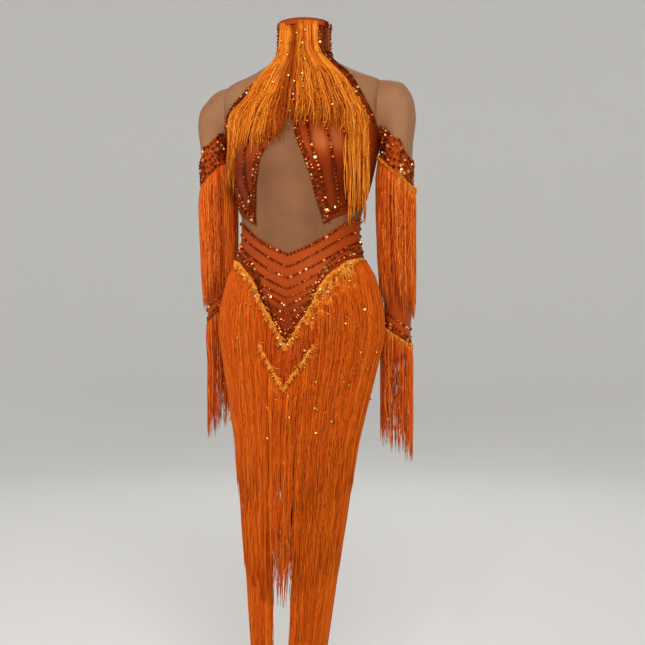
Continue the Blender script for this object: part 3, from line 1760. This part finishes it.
    def lower_lift(self, theta: np.ndarray) -> np.ndarray:
        """Returns how far out the second row hangs."""
        return ON_BRIEF + 4.2 + 7.0 * self.crossing(theta)

    def leg_lift(self, theta: np.ndarray) -> np.ndarray:
        """Returns how far out the rows at the leg openings hang."""
        return ON_BRIEF + 1.2 + 0 * theta

    def plain(self, theta: np.ndarray) -> np.ndarray:
        """Returns 0 all round."""
        return 0 * theta

    def rows(self) -> tuple[FringeRow, ...]:
        """Lists the rows of strands.

        Returns:
            The yoke's row, the second row and the two legs'.
        """
        half = math.pi
        legs = [math.radians(turn) for turn in (15, 150, -132, -11)]
        upper, lower_hem = HemLine(-800, 130, 1.2, 60), HemLine(-945, 130, 1.1, 50)
        leg = (self.leg_head, HemLine(-1170, 66), self.leg_lift, self.plain, 3.2, 14)
        return (
            FringeRow("fringe_hip_upper", 1600, -half, half, self.yoke_head, upper, self.upper_lift,
                      self.crossing, 2.6, 16),
            FringeRow("fringe_hip_lower", 1500, -half, half, self.second_head, lower_hem, self.lower_lift,
                      self.plain, 3.2, 16),
            FringeRow("fringe_leg_left", 760, *legs[:2], *leg),
            FringeRow("fringe_leg_right", 700, *legs[2:], *leg),
        )

    def crystals(self, material: bpy.types.Material) -> Piece:
        """Makes the crystals along the yoke's foot and among the strands.

        Args:
            material: Their finish.

        Returns:
            The piece.
        """
        beads = Beads("skirt_crystals")
        rng = np.random.default_rng(self.spot_seed)
        theta = np.linspace(-0.9, 1.1, 200)
        beads.along(hang, theta, self.yoke_head(theta) - 5, ON_BRIEF + 12.0, 5.8, 13.0)
        for spot, share in zip(rng.normal(0.3, 0.6, self.spots), rng.uniform(0, 1, self.spots)):
            start = self.yoke_head(np.array([spot]))[0] - 14 - 280 * share**2
            short = np.array([start, start - 4.4])
            beads.along(hang, np.full(2, spot), short, ON_BRIEF + 12.5, 5.6, 4.3)
        return beads.make(material, self.crystal_seed)

    def build(self, wardrobe: Wardrobe) -> list[Piece]:
        """Builds the skirt.

        Args:
            wardrobe: The finishes.

        Returns:
            The pieces.
        """
        made = []
        for seed, row in enumerate(self.rows(), self.seed):
            name = row.node.replace("fringe", "strands")
            fringe = strands(name, *self.lay(row, seed), wardrobe.skirt)
            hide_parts(row.node)
            made += [fringe, self.tape(row, wardrobe.skirt)]
        for row in (
            TuftRow("upper", 1300, -1.25, 1.25, 1.0, self.yoke_head, self.upper_lift),
            TuftRow("lower", 380, -0.46, 0.46, 0.65, self.second_head, self.lower_lift),
            TuftRow("stray", 420, 0.2, 1.05, 0.9, self.stray_head, self.upper_lift),
        ):
            made.append(strands(f"tufts_hip_{row.name}", *self.curl(row), wardrobe.header))
        return slotted([*made, self.crystals(wardrobe.clear)])


@dataclass
class Bib:
    """The fringe that falls from the collar over the chest, and that of both halter edges."""

    strands_in_bib: int = 430
    strands_at_edge: int = 170
    fall_seed: int = 21
    edge_seed: int = 30
    locks: int = 46
    spots: int = 46
    spot_seed: int = 71
    crystal_seed: int = 14
    hems: dict[int, Spot] = field(default_factory=lambda: {1: (-72, -352), -1: (-100, -306)})
    hem: Table = field(default_factory=lambda: Table(
        "z", (-1, -200), (-0.64, -186), (-0.35, -183), (-0.18, -172), (-0.05, -158), (0.03, -134),
        (0.2, -136), (0.35, -146), (0.56, -142), (0.75, -165), (0.93, -196), (1, -210), corners=True))

    def reach(self, spot: np.ndarray, z: np.ndarray) -> np.ndarray:
        """Works out how wide the fan is, which ends a little inside each halter edge's crystals.

        Args:
            spot: Where a strand is across the fan, -1 to 1.
            z: Its heights.

        Returns:
            The fan's half widths there.
        """
        high = np.maximum(z, -128)
        left, right = HALTER_EDGE[1].read("x", high) - 15, HALTER_EDGE[-1].read("x", high) - 24
        return np.maximum(np.where(spot > 0, left, right), BIB_EDGE.read("x", z) - 6)

    def fall(self) -> Laid:
        """Lays out the strands that fan out from the collar.

        Returns:
            The strands' paths, ways out, widths and shades.
        """
        rng = np.random.default_rng(self.fall_seed)
        count, each = self.strands_in_bib, (self.strands_in_bib, 1)
        share = np.sort(rng.uniform(-1, 1, count)) * 0.99
        locks = rng.uniform(-1, 1, self.locks)
        chosen = nearest(share, locks)
        hem = self.hem.read("z", share) + 30 * (rng.uniform(0, 1, self.locks) - 0.5)[chosen]
        hem = hem + 30 * (rng.uniform(0, 1, count) - 0.45)
        t = np.linspace(0, 1, 14)
        spot = mix(share[:, None], locks[chosen][:, None], rng.uniform(0.3, 0.95, each) * t**0.9)
        spot = spot + rng.normal(0, 0.045, each) * t
        bare = np.exp(-(((share + 0.3) / 0.3) ** 4)) * rng.uniform(0.3, 1, count) * 22
        lower_down = rng.uniform(15, 75, count) * (rng.uniform(0, 1, count) < 0.4)
        z = mix((66 - np.maximum(bare, lower_down))[:, None], hem[:, None], t)
        loose = 0.012 + 0.045 * (rng.uniform(0, 1, each) < 0.25)
        spot = np.clip(spot + loose * np.sin(z / 12 + rng.uniform(0, 6.3, each)), -1.04, 1.04)
        theta = theta_of(spot * self.reach(spot, z), z)
        out = level_out(skin, theta, z)
        off = ON_HALTER + 2.4 + rng.uniform(0, 5, each) * np.minimum(1, t * 5) * (1 - 0.6 * spot**4)
        path = skin(theta, z) + out * off[..., None]
        shade = rng.uniform(0, 1, count) * (1 - 0.8 * np.exp(-(((share + 0.1) / 0.20) ** 2)))
        return path, out, rng.uniform(0.7, 1.25, count) * 1.7, shade

    def free(self, side: int) -> Laid:
        """Lays out the strands that hang from a halter's edge, clear of the bust.

        Args:
            side: 1 on the wearer's left, -1 on the right.

        Returns:
            The strands' paths, ways out, widths and shades.
        """
        rng = np.random.default_rng(self.edge_seed + side)
        count, each = self.strands_at_edge, (self.strands_at_edge, 1)
        top, hem = self.hems[side]
        z0 = mix(-136, top, rng.uniform(0, 1, count))
        x = HALTER_EDGE[side].read("x", z0) - 12 + rng.uniform(-6, 4, count)
        locks = np.linspace(x.min(), x.max(), 6) + rng.uniform(-2, 2, 6)
        chosen = nearest(x, locks)
        end = hem + (70 * rng.uniform(0, 1, 6))[chosen] + 70 * rng.uniform(0, 1, count) ** 1.4
        t = np.linspace(0, 1, 14)
        z = mix(z0[:, None], end[:, None], t)
        wide = mix(x[:, None], locks[chosen][:, None], rng.uniform(0.5, 1.0, each) * t)
        wide = wide + 2.4 * np.sin(z / 20 + rng.uniform(0, 6.3, each)) * t
        off = rng.uniform(0, 5, each) * np.minimum(1, t * 5)
        face = skin(theta_of(wide, z), z)[..., 1] - 4 - off
        y = np.minimum.accumulate(face, axis=1) - 1.0
        out = np.broadcast_to(np.array([0.0, -1.0, 0.0]), (*z.shape, 3))
        path = np.stack([wide * side, y, z], -1)
        return path, out, rng.uniform(0.7, 1.25, count) * 1.6, rng.uniform(0, 1, count)

    def tape(self, u: np.ndarray, v: np.ndarray) -> np.ndarray:
        """Finds points of the collar's heading tape.

        Args:
            u: Shares across.
            v: Shares up.

        Returns:
            The points.
        """
        theta = np.radians(mix(-60, 60, u))
        z = mix(60, 70, v)
        return skin(theta, z) + level_out(skin, theta, z) * ON_HALTER

    def crystals(self, material: bpy.types.Material) -> Piece:
        """Makes the crystals among the strands.

        Args:
            material: Their finish.

        Returns:
            The piece.
        """
        rng = np.random.default_rng(self.spot_seed)
        beads = Beads("bib_crystals")
        shares, heights = rng.uniform(-0.95, 0.95, self.spots), rng.uniform(-130, 50, self.spots)
        for share, height in zip(shares, heights):
            line = np.array([height, height - 4.4])
            beads.torso(share * BIB_EDGE.read("x", line), line, ON_HALTER + 8.5, 4.8, 4.3)
        return beads.make(material, self.crystal_seed)

    def build(self, wardrobe: Wardrobe) -> list[Piece]:
        """Builds the bib.

        Args:
            wardrobe: The finishes.

        Returns:
            The pieces.
        """
        bib = strands("strands_collar", *self.fall(), wardrobe.bib)
        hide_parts("fringe_collar")
        made = [bib, cloth("tape_collar", self.tape, 60, 4, TAPE_WALL, wardrobe.satin)]
        for label, side in SIDES.items():
            fringe = strands(f"strands_halter_{label}", *self.free(side), wardrobe.bib)
            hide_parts(f"fringe_halter_{label}")
            made.append(fringe)
        return slotted([*made, self.crystals(wardrobe.clear)])


# ---------------------------------------------------------------- the studio


@dataclass
class Studio:
    """A plain pale floor that sweeps up all round, soft lights and the camera."""

    floor_height: float = -1.4
    radius: float = 7.0
    sweep: float = 2.5
    pale: Colour = (0.88, 0.88, 0.87)
    view: float = 32.69  # the camera's angle of view in degrees
    turn: float = 14  # the camera's turn to the wearer's left in degrees
    eye: Place = (0.5739, -2.1243, -0.53)
    lit: Place = (0, 0, -0.55)  # where the lamps look
    air: Colour = (1.0, 0.98, 0.96)
    air_strength: float = 0.40
    lamps: tuple[tuple[str, Place, float, float, Colour], ...] = (
        # name, place, size, power and tint
        ("key", (1.3, -3.2, 1.3), 1.5, 84, (1.0, 0.97, 0.92)),
        ("fill", (-2.6, -2.4, 0.3), 2.0, 36, (1.0, 0.97, 0.94)),
        ("glint", (0.2, -2.8, 0.9), 0.14, 13, (1.0, 0.96, 0.90)),
        ("back", (-0.6, 3.6, 1.8), 2.4, 36, (1.0, 0.98, 0.95)),
    )

    def floor(self) -> None:
        """Builds the floor as a wide shallow bowl."""
        bm = bmesh.new()
        flat, sweep = self.radius - self.sweep, self.sweep
        bends = np.radians(np.arange(15, 91, 15))
        profile = [(0.0, 0.0), (flat, 0.0)]
        profile += [(flat + sweep * math.sin(a), sweep - sweep * math.cos(a)) for a in bends]
        profile.append((self.radius, 7.0))
        chain = [bm.verts.new((r, 0, self.floor_height + h)) for r, h in profile]
        edges = [bm.edges.new(pair) for pair in zip(chain, chain[1:])]
        bmesh.ops.spin(bm, geom=chain + edges, cent=(0, 0, 0), axis=(0, 0, 1), angle=2 * math.pi,
                       steps=96, use_merge=True)
        bmesh.ops.remove_doubles(bm, verts=bm.verts, dist=1e-4)
        bmesh.ops.recalc_face_normals(bm, faces=bm.faces)
        for face in bm.faces:
            face.smooth = True
            face.normal_flip()
        mesh = bpy.data.meshes.new("floor")
        bm.to_mesh(mesh)
        bm.free()
        material, n, shader = new_material("pale floor")
        n.fill(shader, Base_Color=(*self.pale, 1), Roughness=0.9)
        mesh.materials.append(material)
        floor = bpy.data.objects.new("floor", mesh)
        bpy.context.scene.collection.objects.link(floor)

    def lamp(self, name: str, place: Place, size: float, power: float, tint: Colour) -> None:
        """Adds a square soft light that looks at the garment.

        Args:
            name: Its name.
            place: Where it is, in metres.
            size: Its width in metres.
            power: Its power in watts.
            tint: Its colour.
        """
        data = bpy.data.lights.new(name, "AREA")
        data.shape, data.size, data.energy, data.color = "SQUARE", size, power, tint
        lamp = bpy.data.objects.new(name, data)
        lamp.location = place
        aim = Vector(self.lit) - Vector(place)
        lamp.rotation_euler = aim.to_track_quat("-Z", "Y").to_euler()
        bpy.context.scene.collection.objects.link(lamp)

    def camera(self) -> None:
        """Adds the camera, level with the waist and turned a little to the wearer's left."""
        data = bpy.data.cameras.new("camera")
        data.sensor_width, data.lens = 36.0, 18.0 / math.tan(math.radians(self.view / 2))
        data.clip_end = 60
        camera = bpy.data.objects.new("camera", data)
        turn = math.radians(self.turn)
        camera.location = self.eye
        aim = Vector((-math.sin(turn), math.cos(turn), 0))
        camera.rotation_euler = aim.to_track_quat("-Z", "Y").to_euler()
        bpy.context.scene.collection.objects.link(camera)
        bpy.context.scene.camera = camera

    def build(self) -> None:
        """Builds floor, lights and camera."""
        self.floor()
        self.camera()
        for lamp in self.lamps:
            self.lamp(*lamp)
        world = bpy.data.worlds.new("studio")
        world.use_nodes = True
        background = world.node_tree.nodes["Background"]
        Nodes(world.node_tree).fill(background, Color=(*self.air, 1), Strength=self.air_strength)
        bpy.context.scene.world = world
        bpy.context.scene.view_settings.view_transform = "Standard"


def main() -> None:
    """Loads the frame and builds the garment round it."""
    logging.basicConfig(level=logging.INFO, format="%(name)s: %(message)s")
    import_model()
    Studio().build()
    wardrobe = Wardrobe()
    parts = (
        MeshUpper(), Halter(), Yoke(), Brief(),
        Sleeve("left", 1, -474, 51), Sleeve("right", -1, -456, 52), Skirt(), Bib(),
    )
    for part in parts:
        for piece in part.build(wardrobe):
            LOG.info("%s: %s, %d faces", type(part).__name__, piece.name, len(piece.data.polygons))


if __name__ == "__main__":
    main()
